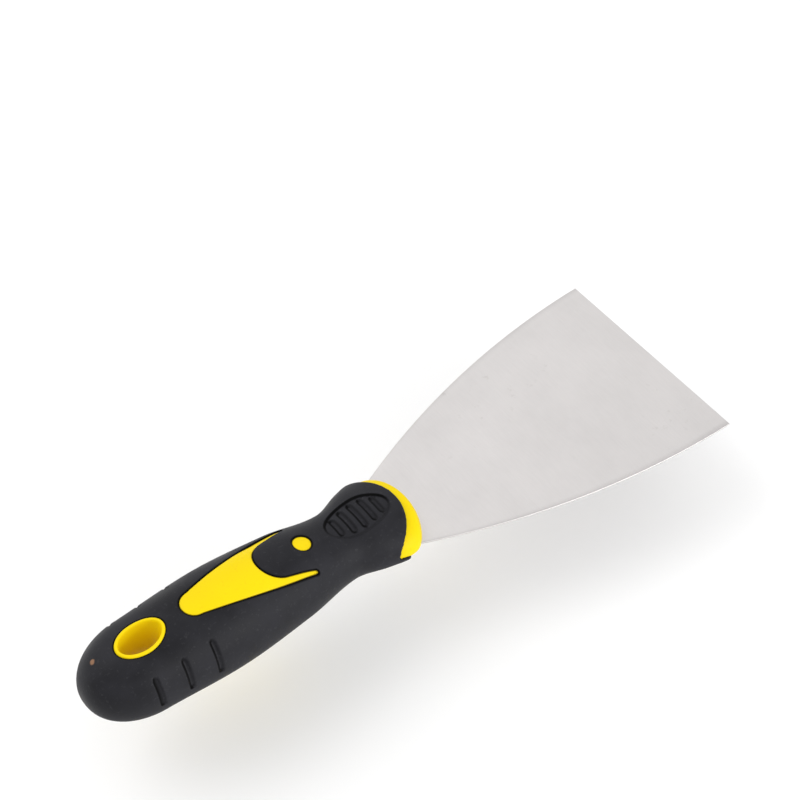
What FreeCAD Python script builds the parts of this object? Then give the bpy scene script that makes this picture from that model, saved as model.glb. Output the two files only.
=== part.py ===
import FreeCAD, Part
import math
import os
from FreeCAD import Vector

# A flexible putty knife: a sprung steel blade moulded into a two-shot handle.
# The handle is a hard yellow core under a soft black grip. The core shows through
# windows in the grip and stands out of its front as a domed collar.
# Millimetres. The origin is the middle of the working edge, +X points out of the
# edge, +Y across the blade and +Z out of its upper face. Places along the handle
# are distances back from the datum plane, where the upper end of the blade's
# exposed length is measured, or forward from the butt.

# Blade
blade_width = 75.0
exposed_length = 105.0
blade_thickness = 0.6
neck_place = 5.0
neck_half_width = 13.9
side_bow = 5.6
flex_length = 15.5
flex_gap = 0.2
tang_shoulder_place = 12.0
tang_length = 60.0
tang_half_width = 6.5
tang_hole_radius = 2.6
tang_hole_count = 2
tang_hole_pitch = 21.0

# Handle
handle_length = 116.4
butt_length = 19.6
butt_power = 2.2
top_power = 2.0
under_power = 2.2
section_points = 16
grip_skin = 2.2
collar_skin = 1.9
collar_side_skin = 0.85
panel_recess = 0.2

# Stations of the grip. Each has a half width at its widest line, the height of its
# top and the depth of its underside from that line, and the line's rise above the
# blade. The first three places count back from the datum, the last two forward
# from the butt, and the shoulder's back from the waist.
front_reach = 6.0
front_half_width, front_height, front_depth, front_rise = 15.0, 7.0, 8.0, 1.1
flare_place = 9.0
flare_half_width, flare_height, flare_depth, flare_rise = 16.2, 9.4, 9.3, 1.2
throat_place = 17.0
throat_half_width, throat_height, throat_depth, throat_rise = 14.6, 11.0, 9.3, 1.2
waist_place = 27.1
waist_half_width, waist_height, waist_depth, waist_rise = 11.5, 10.7, 10.1, 1.3
shoulder_run = 18.9
shoulder_half_width, shoulder_height, shoulder_depth, shoulder_rise = 14.2, 14.3, 12.0, 1.7
bulge_from_butt = 44.6
bulge_half_width, bulge_height, bulge_depth, bulge_rise = 16.1, 16.5, 11.7, 1.7
heel_half_width, heel_height, heel_depth, heel_rise = 15.1, 15.5, 8.9, 1.7

# Collar: an oval dome, cut off behind by the grip's rounded front edge. The grip's
# under half reaches further forward at the sides, so its edge is flatter.
collar_half_length = 14.6
collar_half_width = 17.5
collar_half_height = 13.7
collar_reach = 0.9
grip_edge_place = 4.3
top_edge_radius = 17.6
under_edge_radius = 26.0
parting_level = 0.2

# Hanging hole: an oval funnel through the butt, with a lip of core around it
eyelet_from_butt = 20.0
eyelet_half_length = 7.9
eyelet_half_width = 5.45
eyelet_lip = 1.2
eyelet_taper = 1.2

# Windows in the grip, on both faces
dot_place = 39.9
dot_radius = 2.95
panel_disc_place = 48.8
panel_disc_radius = 7.4
panel_tip_place = 41.1
panel_tip_spread = 9.4
panel_tip_radius = 0.5
panel_rear_radius = 4.4
panel_side_bow = 0.9
panel_to_eyelet = 6.2

# Thumb pads, on both faces, with cross grooves
pad_place = 19.2
pad_half_length = 11.4
pad_half_width = 6.2
pad_depth = 0.5
groove_count = 5
groove_pitch = 3.8
groove_width = 1.7
groove_depth = 0.5
groove_end_margin = 1.2

# Finger slots down both sides of the butt, from the upper face to near the parting line
slot_count = 3
slot_pitch = 9.6
slot_behind_eyelet = 2.6
slot_width = 1.4
slot_depth = 0.6
slot_inner_edge = 11.2
slot_foot_level = 3.0

# How far a cutting solid runs past what it cuts
cut_margin = 40.0

datum_x = -exposed_length
shoulder_place = waist_place + shoulder_run
bulge_place = handle_length - bulge_from_butt
heel_place = handle_length - butt_length
eyelet_place = handle_length - eyelet_from_butt
stations = [
    (-front_reach, front_half_width, front_height, front_depth, front_rise),
    (flare_place, flare_half_width, flare_height, flare_depth, flare_rise),
    (throat_place, throat_half_width, throat_height, throat_depth, throat_rise),
    (waist_place, waist_half_width, waist_height, waist_depth, waist_rise),
    (shoulder_place, shoulder_half_width, shoulder_height, shoulder_depth, shoulder_rise),
    (bulge_place, bulge_half_width, bulge_height, bulge_depth, bulge_rise),
    (heel_place, heel_half_width, heel_height, heel_depth, heel_rise),
]
half_width_column, height_column, depth_column, rise_column = 1, 2, 3, 4


def slopes(column):
    """Slope of one column of the stations at each one: flat at a peak or a dip."""
    steps = [
        (b[column] - a[column]) / (b[0] - a[0])
        for a, b in zip(stations, stations[1:])
    ]
    middle = [
        2.0 * before * after / (before + after) if before * after > 0 else 0.0
        for before, after in zip(steps, steps[1:])
    ]
    return [steps[0]] + middle + [steps[-1]]


station_slopes = {column: slopes(column) for column in range(half_width_column, rise_column + 1)}


def profile(place, column):
    """One size of the grip at a distance back from the datum: a cubic between stations."""
    index = 0
    while index < len(stations) - 2 and place > stations[index + 1][0]:
        index += 1
    low, high = stations[index], stations[index + 1]
    run = high[0] - low[0]
    u = min(max((place - low[0]) / run, 0.0), 1.0)
    start, end = station_slopes[column][index], station_slopes[column][index + 1]
    return (
        low[column] * (1 + 2 * u) * (1 - u) ** 2
        + high[column] * u * u * (3 - 2 * u)
        + start * run * u * (1 - u) ** 2
        - end * run * u * u * (1 - u)
    )


def section(place, half_width, height, depth, rise):
    """Closed section across the handle: a softly squared oval, taller above than below."""
    points = []
    for step in range(section_points):
        angle = 2 * math.pi * step / section_points
        across, up = math.cos(angle), math.sin(angle)
        power = 2 / (top_power if up > 0 else under_power)
        y = half_width * math.copysign(abs(across) ** power, across)
        reach = height if up > 0 else -depth
        points.append(Vector(datum_x - place, y, rise + reach * abs(up) ** power))
    curve = Part.BSplineCurve()
    curve.interpolate(Points=points, PeriodicFlag=True)
    return Part.Wire([curve.toShape()])


def handle_body(inset, side_inset=None):
    """The handle's outer form, shrunk by an inset or by another one at its sides."""
    side_inset = inset if side_inset is None else side_inset
    insets = {half_width_column: side_inset, height_column: inset, depth_column: inset}
    section_step = 8.0
    butt_sections = 6
    count = math.ceil((heel_place + front_reach) / section_step)
    wires = []
    for step in range(count + 1):
        place = -front_reach + (heel_place + front_reach) * step / count
        sizes = [profile(place, column) - less for column, less in insets.items()]
        wires.append(section(place, *sizes, profile(place, rise_column)))
    for step in range(1, butt_sections + 1):
        turn = math.pi / 2 * step / (butt_sections + 0.25)
        place = heel_place + (butt_length - inset) * math.sin(turn)
        shrink = math.cos(turn) ** (2 / butt_power)
        sizes = [(profile(heel_place, column) - less) * shrink for column, less in insets.items()]
        wires.append(section(place, *sizes, heel_rise))
    return Part.makeLoft(wires, True, False)


def prism(edges, low, high):
    """Upright prism on a closed plan outline."""
    face = Part.Face(Part.Wire(Part.__sortEdges__(edges)))
    face.translate(Vector(0, 0, low))
    return face.extrude(Vector(0, 0, high - low))


def through(edges):
    """Prism that runs past both faces of the handle."""
    return prism(edges, -cut_margin, cut_margin)


def oval(half_length, half_width):
    """Oval plan outline at the origin, long along X."""
    return Part.Ellipse(Vector(0, 0, 0), half_length, half_width).toShape()


def arc(start, middle, end):
    """Circular edge through three plan points."""
    return Part.Arc(Vector(*start), Vector(*middle), Vector(*end)).toShape()


def round_at(place, radius):
    """Upright cylinder through the handle, centred a distance back from the datum."""
    centre = Vector(datum_x - place, 0, -cut_margin)
    return Part.makeCylinder(radius, 2 * cut_margin, centre)


def eyelet_prism():
    """Oval prism of the outside of the hanging hole's lip."""
    tool = through([oval(eyelet_half_length, eyelet_half_width)])
    tool.translate(Vector(datum_x - eyelet_place, 0, 0))
    return tool


def eyelet_hole():
    """The hanging hole: widest at both faces and narrowest half way through."""
    half_length = eyelet_half_length - eyelet_lip
    half_width = eyelet_half_width - eyelet_lip
    top = heel_rise + heel_height
    bottom = heel_rise - heel_depth
    middle = (top + bottom) / 2
    mouth_slope = eyelet_taper / (top - middle)
    wires = []
    for level in (top + 2.0, middle, bottom - 2.0):
        widening = mouth_slope * abs(level - middle) - eyelet_taper
        wire = Part.Wire([oval(half_length + widening, half_width + widening)])
        wire.translate(Vector(datum_x - eyelet_place, 0, level))
        wires.append(wire)
    upper = Part.makeLoft(wires[:2], True, True)
    lower = Part.makeLoft(wires[1:], True, True)
    return upper.fuse(lower)


def panel_prism():
    """The long window: a drop with a round tail, hollowed in front by the thumb disc.

    The straight inner side of each prong touches the disc, at an angle worked out
    from the prong's inner corner.
    """
    tail_place = eyelet_place - eyelet_half_length - panel_to_eyelet - panel_rear_radius
    tail_x = datum_x - tail_place
    tip_x = datum_x - panel_tip_place
    disc_x = datum_x - panel_disc_place
    inner_y = panel_tip_spread - panel_tip_radius
    lean = math.atan2(inner_y, tip_x - disc_x)
    lean += math.acos(panel_disc_radius / math.hypot(inner_y, tip_x - disc_x))
    side_x = disc_x + panel_disc_radius * math.cos(lean)
    side_y = panel_disc_radius * math.sin(lean)
    edges = []
    for side in (1, -1):
        tip_y = side * panel_tip_spread
        outer = (tip_x, tip_y + side * panel_tip_radius, 0)
        inner = (tip_x, tip_y - side * panel_tip_radius, 0)
        tail = (tail_x, side * panel_rear_radius, 0)
        middle = ((tail_x + tip_x) / 2, (tail[1] + outer[1]) / 2 + side * panel_side_bow, 0)
        disc = (side_x, side * side_y, 0)
        edges.append(arc(tail, middle, outer))
        edges.append(arc(outer, (tip_x + panel_tip_radius, tip_y, 0), inner))
        edges.append(Part.LineSegment(Vector(*inner), Vector(*disc)).toShape())
    edges.append(arc(
        (side_x, side_y, 0), (disc_x - panel_disc_radius, 0, 0), (side_x, -side_y, 0)
    ))
    edges.append(arc(
        (tail_x, panel_rear_radius, 0), (tail_x - panel_rear_radius, 0, 0), (tail_x, -panel_rear_radius, 0)
    ))
    return through(edges)


def collar_dome():
    """Collar and its root: an oval dome."""
    dome = Part.makeSphere(1.0)
    stretch = FreeCAD.Matrix()
    stretch.scale(collar_half_length, collar_half_width, collar_half_height)
    dome = dome.transformGeometry(stretch)
    dome.translate(Vector(datum_x + collar_reach - collar_half_length, 0, 0))
    return dome


def sheet(edges):
    """A piece of blade steel on a closed plan outline."""
    return prism(edges, -blade_thickness / 2, blade_thickness / 2)


def blade_plan():
    """The whole blade: bowed sides out to the working edge, and a shouldered tang."""
    half_edge = blade_width / 2
    neck_x = datum_x - neck_place
    shoulder_x = datum_x - tang_shoulder_place
    tang_x = datum_x - tang_length
    middle_x = neck_x / 2
    middle_y = (neck_half_width + half_edge) / 2 + side_bow
    edges = []
    for side in (1, -1):
        neck = (neck_x, side * neck_half_width, 0)
        shoulder = Vector(shoulder_x, side * tang_half_width, 0)
        edges.append(arc((0, side * half_edge, 0), (middle_x, side * middle_y, 0), neck))
        edges.append(Part.LineSegment(Vector(*neck), shoulder).toShape())
        edges.append(Part.LineSegment(shoulder, Vector(tang_x, side * tang_half_width, 0)).toShape())
    edges.append(Part.LineSegment(Vector(0, -half_edge, 0), Vector(0, half_edge, 0)).toShape())
    edges.append(Part.LineSegment(
        Vector(tang_x, -tang_half_width, 0), Vector(tang_x, tang_half_width, 0)
    ).toShape())
    return sheet(edges)


def slab(low_x, high_x):
    """Cutting block between two planes across the knife."""
    half = blade_width
    return Part.makeBox(high_x - low_x, 2 * half, 2 * half, Vector(low_x, -half, -half))


def thumb_pad_cut(outer):
    """Shallow oval recess with deeper cross grooves, sunk into both faces."""
    pad_x = datum_x - pad_place
    floor = handle_body(pad_depth)
    groove_floor = handle_body(pad_depth + groove_depth)
    recess = through([oval(pad_half_length, pad_half_width)])
    recess.translate(Vector(pad_x, 0, 0))
    cut = outer.common(recess).cut(floor)
    for step in range(groove_count):
        offset = groove_pitch * (step - (groove_count - 1) / 2)
        chord = pad_half_width * math.sqrt(1 - (offset / pad_half_length) ** 2)
        reach = chord - groove_end_margin - groove_width / 2
        tool = rounded_bar(pad_x + offset, reach)
        cut = cut.fuse(floor.common(tool).cut(groove_floor))
    return cut


def rounded_bar(x, reach):
    """Upright bar across the knife with round ends, centred on y = 0."""
    half = groove_width / 2
    bar = Part.makeBox(groove_width, 2 * reach, 2 * cut_margin, Vector(x - half, -reach, -cut_margin))
    for side in (1, -1):
        end = Part.makeCylinder(half, 2 * cut_margin, Vector(x, side * reach, -cut_margin))
        bar = bar.fuse(end)
    return bar


def finger_slot_cut(outer):
    """Slots that run down both sides of the butt from the upper face."""
    slots = outer.cut(handle_body(slot_depth))
    tools = []
    for step in range(slot_count):
        place = eyelet_place + slot_behind_eyelet - slot_pitch * step
        for side in (1, -1):
            low_y = slot_inner_edge if side > 0 else -slot_inner_edge - cut_margin
            corner = Vector(datum_x - place - slot_width / 2, low_y, slot_foot_level)
            tools.append(Part.makeBox(slot_width, cut_margin, cut_margin, corner))
    return slots.common(tools[0].multiFuse(tools[1:]))


def make_blades():
    """The blade's flexing leaf, and the tang with the stiff root of the leaf."""
    flex_x = datum_x + flex_length
    plan = blade_plan()
    leaf = plan.common(slab(flex_x + flex_gap / 2, exposed_length))
    tang = plan.common(slab(datum_x - tang_length - 1.0, flex_x - flex_gap / 2))
    for step in range(tang_hole_count):
        place = tang_length - tang_hole_pitch / 2 - tang_hole_pitch * step
        tang = tang.cut(round_at(place, tang_hole_radius))
    return leaf, tang


def behind_edge_block(edge_radius, low_z, high_z):
    """Block that holds all of the handle behind the grip's round front edge, between two levels."""
    centre_place = grip_edge_place + edge_radius
    centre = Vector(datum_x - centre_place, 0, low_z)
    half = blade_width
    length = handle_length + 1.0 - centre_place
    corner = Vector(datum_x - handle_length - 1.0, -half, low_z)
    block = Part.makeBox(length, 2 * half, high_z - low_z, corner)
    return block.fuse(Part.makeCylinder(edge_radius, high_z - low_z, centre))


def make_handle(tang):
    """The hard core with its windows' pads, and the soft grip moulded over it."""
    outer = handle_body(0.0)
    behind_edge = behind_edge_block(top_edge_radius, parting_level, cut_margin)
    behind_edge = behind_edge.fuse(behind_edge_block(under_edge_radius, -cut_margin, parting_level))
    core_part = handle_body(grip_skin).common(behind_edge)
    windows = panel_prism().fuse(round_at(dot_place, dot_radius)).fuse(eyelet_prism())
    pads = handle_body(panel_recess).common(panel_prism().fuse(round_at(dot_place, dot_radius)))
    lip = outer.common(eyelet_prism())
    collar = collar_dome().common(handle_body(collar_skin, collar_side_skin))
    core = core_part.fuse(collar).fuse(pads).fuse(lip)
    core = core.cut(eyelet_hole())
    grip = outer.common(behind_edge).cut(core).cut(windows)
    grip = grip.cut(thumb_pad_cut(outer)).cut(finger_slot_cut(outer)).cut(tang)
    core = core.cut(tang)
    return core, grip


os.makedirs("parts", exist_ok=True)
blade, blade_tang = make_blades()
handle_core, grip = make_handle(blade_tang)
nodes = {
    "blade": blade,
    "blade_tang": blade_tang,
    "handle_core": handle_core,
    "grip": grip,
}
for name, shape in nodes.items():
    box = shape.BoundBox
    print(name, shape.ShapeType, len(shape.Solids), "solids", shape.isValid(), round(shape.Volume, 1))
    print("  x %.2f..%.2f  y %.2f..%.2f  z %.2f..%.2f" % (
        box.XMin, box.XMax, box.YMin, box.YMax, box.ZMin, box.ZMax))
    shape.exportStep("parts/" + name + ".step")
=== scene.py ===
"""Flexible putty knife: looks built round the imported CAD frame, laid out as an add-on and run as a script."""

import math

import bpy
import numpy as np
from bpy.props import FloatProperty, FloatVectorProperty, PointerProperty
from mathutils import Matrix, Vector


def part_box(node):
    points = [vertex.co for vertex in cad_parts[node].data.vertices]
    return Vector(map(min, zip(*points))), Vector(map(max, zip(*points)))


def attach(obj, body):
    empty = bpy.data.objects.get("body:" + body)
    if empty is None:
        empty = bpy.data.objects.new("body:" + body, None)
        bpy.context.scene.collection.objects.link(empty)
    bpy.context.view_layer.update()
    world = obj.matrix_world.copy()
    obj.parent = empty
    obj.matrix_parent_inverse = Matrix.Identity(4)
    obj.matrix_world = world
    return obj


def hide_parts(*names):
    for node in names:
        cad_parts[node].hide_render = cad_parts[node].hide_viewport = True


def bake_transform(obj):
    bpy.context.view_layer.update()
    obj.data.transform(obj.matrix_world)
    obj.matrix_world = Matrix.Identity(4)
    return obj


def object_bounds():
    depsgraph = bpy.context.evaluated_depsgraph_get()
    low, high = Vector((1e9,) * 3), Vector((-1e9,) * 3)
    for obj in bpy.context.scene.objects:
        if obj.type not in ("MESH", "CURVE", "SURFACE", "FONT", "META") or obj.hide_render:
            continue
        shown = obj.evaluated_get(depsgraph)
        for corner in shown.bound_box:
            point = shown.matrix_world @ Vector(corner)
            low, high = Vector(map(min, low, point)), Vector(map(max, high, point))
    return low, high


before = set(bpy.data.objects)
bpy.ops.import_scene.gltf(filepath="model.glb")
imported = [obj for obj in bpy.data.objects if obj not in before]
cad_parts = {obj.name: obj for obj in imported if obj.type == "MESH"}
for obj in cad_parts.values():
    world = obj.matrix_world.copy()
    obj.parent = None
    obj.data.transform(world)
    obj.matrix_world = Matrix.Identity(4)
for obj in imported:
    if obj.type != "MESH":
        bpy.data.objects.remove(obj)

bl_info = {
    "name": "Flexible putty knife",
    "version": (1, 0, 0),
    "blender": (4, 5, 0),
    "location": "3D View > Sidebar > Putty knife",
    "description": "Builds a flexible putty knife with a two-shot handle",
    "category": "Add Mesh",
}

MM = 0.001
FRAME_LOW, FRAME_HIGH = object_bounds()

# Places along the handle count back from the datum plane, where the blade comes out of it.
EXPOSED_LENGTH = 105.0 * MM
DATUM_X = FRAME_HIGH.x - EXPOSED_LENGTH
HANDLE_LENGTH = DATUM_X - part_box("grip")[0].x
BUTT_LENGTH = 19.6 * MM
HEEL_PLACE = HANDLE_LENGTH - BUTT_LENGTH
BUTT_POWER = 2.2
TOP_POWER = 2.0
UNDER_POWER = 2.2

# Stations of the grip: place, half width, height above and depth below its widest
# line, and that line's rise above the blade.
STATIONS = MM * np.array([
    (-6.0, 15.0, 7.0, 8.0, 1.1),
    (9.0, 16.2, 9.4, 9.3, 1.2),
    (17.0, 14.6, 11.0, 9.3, 1.2),
    (27.1, 11.5, 10.7, 10.1, 1.3),
    (46.0, 14.2, 14.3, 12.0, 1.7),
    (HANDLE_LENGTH / MM - 44.6, 16.1, 16.5, 11.7, 1.7),
    (HEEL_PLACE / MM, 15.1, 15.5, 8.9, 1.7),
])

GRIP_SKIN = 2.2 * MM
FORM_SLACK = 0.06 * MM  # keeps the curved skin inside the flat facets of the CAD shape
PANEL_RECESS = 0.15 * MM
DISC_STEP = 0.35 * MM
EDGE_DEPTH = 0.5 * MM

COLLAR_HALF_LENGTH = 14.6 * MM
COLLAR_HALF_WIDTH = 17.5 * MM
COLLAR_HALF_HEIGHT = 13.7 * MM
COLLAR_REACH = 0.9 * MM
COLLAR_SKIN = 1.9 * MM
COLLAR_SIDE_SKIN = 0.85 * MM
GRIP_EDGE_PLACE = 4.3 * MM
TOP_EDGE_RADIUS = 17.6 * MM
UNDER_EDGE_RADIUS = 26.0 * MM

EYELET_PLACE = HANDLE_LENGTH - 20.0 * MM
EYELET_HALF_LENGTH = 7.9 * MM
EYELET_HALF_WIDTH = 5.45 * MM
EYELET_LIP = 1.2 * MM
EYELET_TAPER = 1.2 * MM

DOT_PLACE = 39.9 * MM
DOT_RADIUS = 2.95 * MM
DISC_PLACE = 48.8 * MM
DISC_RADIUS = 7.4 * MM
TIP_PLACE = 41.1 * MM
TIP_SPREAD = 9.4 * MM
TIP_RADIUS = 0.5 * MM
TAIL_RADIUS = 4.4 * MM
TAIL_PLACE = EYELET_PLACE - EYELET_HALF_LENGTH - 6.2 * MM - TAIL_RADIUS
SIDE_BOW = 0.9 * MM

PAD_PLACE = 19.2 * MM
PAD_HALF_LENGTH = 11.4 * MM
PAD_HALF_WIDTH = 6.2 * MM
PAD_DEPTH = 0.5 * MM
GROOVE_COUNT = 5
GROOVE_PITCH = 3.8 * MM
GROOVE_WIDTH = 1.7 * MM
GROOVE_DEPTH = 0.5 * MM
GROOVE_END_MARGIN = 1.2 * MM

SLOT_COUNT = 3
SLOT_PITCH = 9.6 * MM
SLOT_FIRST_PLACE = EYELET_PLACE + 2.6 * MM
SLOT_WIDTH = 1.4 * MM
SLOT_DEPTH = 0.6 * MM
SLOT_INNER_EDGE = 11.2 * MM
SLOT_FOOT_LEVEL = 3.0 * MM

FEATURE_WALL = 0.16 * MM  # half the run of the sloping walls round the pad, grooves and slots
WINDOW_ROLL = 0.55 * MM
FRONT_ROLL = 0.9 * MM
CORE_ROLL = 0.4 * MM
FAR = 4 * MM  # distances beyond this aren't worked out

GATE_PLACE = 110.2 * MM
GATE_SIDE = 4.3 * MM

BLADE_THICKNESS = 0.6 * MM
NECK_PLACE = 5.0 * MM
NECK_HALF_WIDTH = 13.9 * MM
BLADE_BOW = 5.6 * MM
TANG_SHOULDER_PLACE = 12.0 * MM
TANG_LENGTH = 60.0 * MM
TANG_HALF_WIDTH = 6.5 * MM


# ---- settings

class KnifeColours(bpy.types.PropertyGroup):
    steel: FloatVectorProperty(
        name="Steel", description="Colour of the ground blade", subtype="COLOR",
        default=(0.668, 0.645, 0.638), min=0.0, max=1.0)
    core: FloatVectorProperty(
        name="Core", description="Colour of the hard plastic core", subtype="COLOR",
        default=(0.86, 0.645, 0.004), min=0.0, max=1.0)
    grip: FloatVectorProperty(
        name="Grip", description="Colour of the soft overmoulded rubber", subtype="COLOR",
        default=(0.0165, 0.0165, 0.020), min=0.0, max=1.0)


class KnifeSizes(bpy.types.PropertyGroup):
    grid_step: FloatProperty(
        name="Grid step", description="Spacing of the grip's surface grid",
        default=0.75 * MM, min=0.4 * MM, max=3.0 * MM, unit="LENGTH")
    skin: FloatProperty(
        name="Skin", description="Thickness of the rubber skin as modelled",
        default=1.5 * MM, min=0.5 * MM, max=2.2 * MM, unit="LENGTH")
    floor_drop: FloatProperty(
        name="Floor drop", description="How far below the blade the floor lies",
        default=34.0 * MM, min=0.0, max=0.2, unit="LENGTH")


# ---- handle form

def station_slopes():
    """Slope of each size at each station: the harmonic mean of its neighbours', flat at a peak or dip."""
    steps = np.diff(STATIONS[:, 1:], axis=0) / np.diff(STATIONS[:, :1], axis=0)
    before, after = steps[:-1], steps[1:]
    product = before * after
    with np.errstate(divide="ignore", invalid="ignore"):
        middle = np.where(product > 0, 2 * product / (before + after), 0.0)
    return np.vstack([steps[:1], middle, steps[-1:]])


SLOPES = station_slopes()


def sizes_at(place):
    """Half width, height, depth and rise at a place: a cubic in the distance between stations."""
    places = STATIONS[:, 0]
    inside = np.clip(place, places[0], places[-1])
    index = np.clip(np.searchsorted(places, inside, side="left") - 1, 0, len(places) - 2)
    run = (places[index + 1] - places[index])[..., None]
    u = (inside - places[index])[..., None] / run
    low, high = STATIONS[index, 1:], STATIONS[index + 1, 1:]
    values = (
        low * (1 + 2 * u) * (1 - u) ** 2 + high * u * u * (3 - 2 * u)
        + SLOPES[index] * run * u * (1 - u) ** 2 - SLOPES[index + 1] * run * u * u * (1 - u)
    )
    return np.moveaxis(values, -1, 0)


def handle_point(place, turn, inset=0.0):
    """Point of the handle's surface, shrunk by an inset.

    The section at a place is an ellipse above its widest line and a superellipse of
    power 2.2 below it, in the turn angle. Past the heel the sizes shrink as the 1/2.2
    power of one minus the square of the share of the butt's length.
    """
    half_width, height, depth, rise = sizes_at(place)
    length = BUTT_LENGTH - inset
    share = np.clip((place - HEEL_PLACE) / length, 0.0, 1.0)
    shrink = (1 - share ** 2) ** (1 / BUTT_POWER)
    across, up = np.cos(turn), np.sin(turn)
    power = 2 / np.where(up > 0, TOP_POWER, UNDER_POWER)
    y = (half_width - inset) * shrink * np.sign(across) * np.abs(across) ** power
    reach = np.where(up > 0, height, depth) - inset
    z = rise + reach * shrink * np.sign(up) * np.abs(up) ** power
    x = DATUM_X - np.minimum(place, HEEL_PLACE + length)
    return np.stack([x, y, z], axis=-1)


# ---- outlines and distances

def arc_points(start, middle, end, count):
    """Points along the circle through three plan points, evenly spaced in angle."""
    (ax, ay), (bx, by), (cx, cy) = start, middle, end
    twice = 2 * (ax * (by - cy) + bx * (cy - ay) + cx * (ay - by))
    squares = np.array([ax * ax + ay * ay, bx * bx + by * by, cx * cx + cy * cy])
    centre = np.array([
        squares @ np.array([by - cy, cy - ay, ay - by]),
        squares @ np.array([cx - bx, ax - cx, bx - ax]),
    ]) / twice
    first, through, last = (math.atan2(p[1] - centre[1], p[0] - centre[0]) for p in (start, middle, end))
    sweep = (last - first) % math.tau
    if (through - first) % math.tau > sweep:
        sweep -= math.tau
    angles = first + sweep * np.linspace(0, 1, count)
    radius = math.dist(start, centre)
    return centre + radius * np.stack([np.cos(angles), np.sin(angles)], axis=-1)


def panel_outline():
    """Closed plan outline of the long window: a drop with a round tail, hollowed in front by the disc.

    The straight inner side of each prong touches the disc's circle.
    """
    tail = (TAIL_PLACE, TAIL_RADIUS)
    outer = (TIP_PLACE, TIP_SPREAD + TIP_RADIUS)
    inner = (TIP_PLACE, TIP_SPREAD - TIP_RADIUS)
    middle = ((tail[0] + outer[0]) / 2, (tail[1] + outer[1]) / 2 + SIDE_BOW)
    lean = math.atan2(inner[1], inner[0] - DISC_PLACE)
    lean -= math.acos(DISC_RADIUS / math.hypot(inner[1], inner[0] - DISC_PLACE))
    rest = lean * np.linspace(1, 0, 40)[:, None]
    disc = np.array([DISC_PLACE, 0.0]) + DISC_RADIUS * np.hstack([np.cos(rest), np.sin(rest)])
    tail_middle = (TAIL_PLACE + TAIL_RADIUS * math.sqrt(0.5), TAIL_RADIUS * math.sqrt(0.5))
    half = [
        arc_points((TAIL_PLACE + TAIL_RADIUS, 0.0), tail_middle, tail, 24)[:-1],
        arc_points(tail, middle, outer, 60)[:-1],
        arc_points(outer, (TIP_PLACE - TIP_RADIUS, TIP_SPREAD), inner, 14)[:-1],
        inner + np.linspace(0, 1, 12)[:-1, None] * (disc[0] - inner),
        disc,
    ]
    upper = np.concatenate(half)
    lower = upper[-2:0:-1] * np.array([1.0, -1.0])
    return np.concatenate([upper, lower])


def outline_distance(outline, place, y):
    """Signed distance in plan to a closed outline, positive outside: nearest segment and crossing count."""
    a = outline
    b = np.roll(outline, -1, axis=0)
    along = b - a
    point = np.stack([place, y], axis=-1)[:, None, :]
    t = np.clip(((point - a) * along).sum(-1) / (along ** 2).sum(-1), 0, 1)
    nearest = np.sqrt(((point - a - t[..., None] * along) ** 2).sum(-1)).min(-1)
    straddles = (a[:, 1] > y[:, None]) != (b[:, 1] > y[:, None])
    with np.errstate(divide="ignore", invalid="ignore"):
        crossing = a[:, 0] + (y[:, None] - a[:, 1]) / along[:, 1] * along[:, 0]
    inside = (straddles & (place[:, None] < crossing)).sum(-1) % 2 == 1
    return np.where(inside, -nearest, nearest)


def oval_distance(place, y, centre, half_length, half_width):
    """Signed distance in plan to an oval, to first order: its level function over that function's slope."""
    u, v = (place - centre) / half_length, y / half_width
    level = np.sqrt(u * u + v * v)
    slope = np.sqrt((u / half_length) ** 2 + (v / half_width) ** 2) / np.maximum(level, 1e-9)
    return (level - 1) / np.maximum(slope, 1e-6)


def bar_distance(along, across, reach, half_width):
    """Signed distance to a bar with round ends that reaches the same way both sides of its middle."""
    over = np.maximum(np.abs(across) - reach, 0.0)
    return np.hypot(along, over) - half_width


PANEL_OUTLINE = panel_outline()


def plan_y(place, turn):
    """How far a point of the outer surface is from the knife's middle plane."""
    return handle_point(place, turn)[..., 1]


def panel_field(place, turn):
    """Distance to the long window, with far points given a large one to save work."""
    y = plan_y(place, turn)
    near = (place > TIP_PLACE - FAR) & (place < TAIL_PLACE + TAIL_RADIUS + FAR)
    value = np.full(np.shape(place), FAR)
    value[near] = np.minimum(outline_distance(PANEL_OUTLINE, place[near], y[near]), FAR)
    return value


def dot_field(place, turn):
    """Distance to the round dot."""
    return np.hypot(place - DOT_PLACE, plan_y(place, turn)) - DOT_RADIUS


def eyelet_field(place, turn):
    """Distance to the outside of the hanging hole's lip."""
    return oval_distance(place, plan_y(place, turn), EYELET_PLACE, EYELET_HALF_LENGTH, EYELET_HALF_WIDTH)


WINDOW_FIELDS = (panel_field, dot_field, eyelet_field)


def front_field(place, turn):
    """Distance behind the grip's front edge, which reaches further forward below the parting line."""
    top_share = smooth_step(np.sin(turn), -0.20, -0.06)
    radius = UNDER_EDGE_RADIUS + (TOP_EDGE_RADIUS - UNDER_EDGE_RADIUS) * top_share
    centre = GRIP_EDGE_PLACE + radius
    ahead = radius - np.hypot(place - centre, plan_y(place, turn))
    return np.where(place < centre, ahead, radius)


def pad_field(place, turn):
    """Distance to the thumb pad's oval."""
    return oval_distance(place, plan_y(place, turn), PAD_PLACE, PAD_HALF_LENGTH, PAD_HALF_WIDTH)


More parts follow.
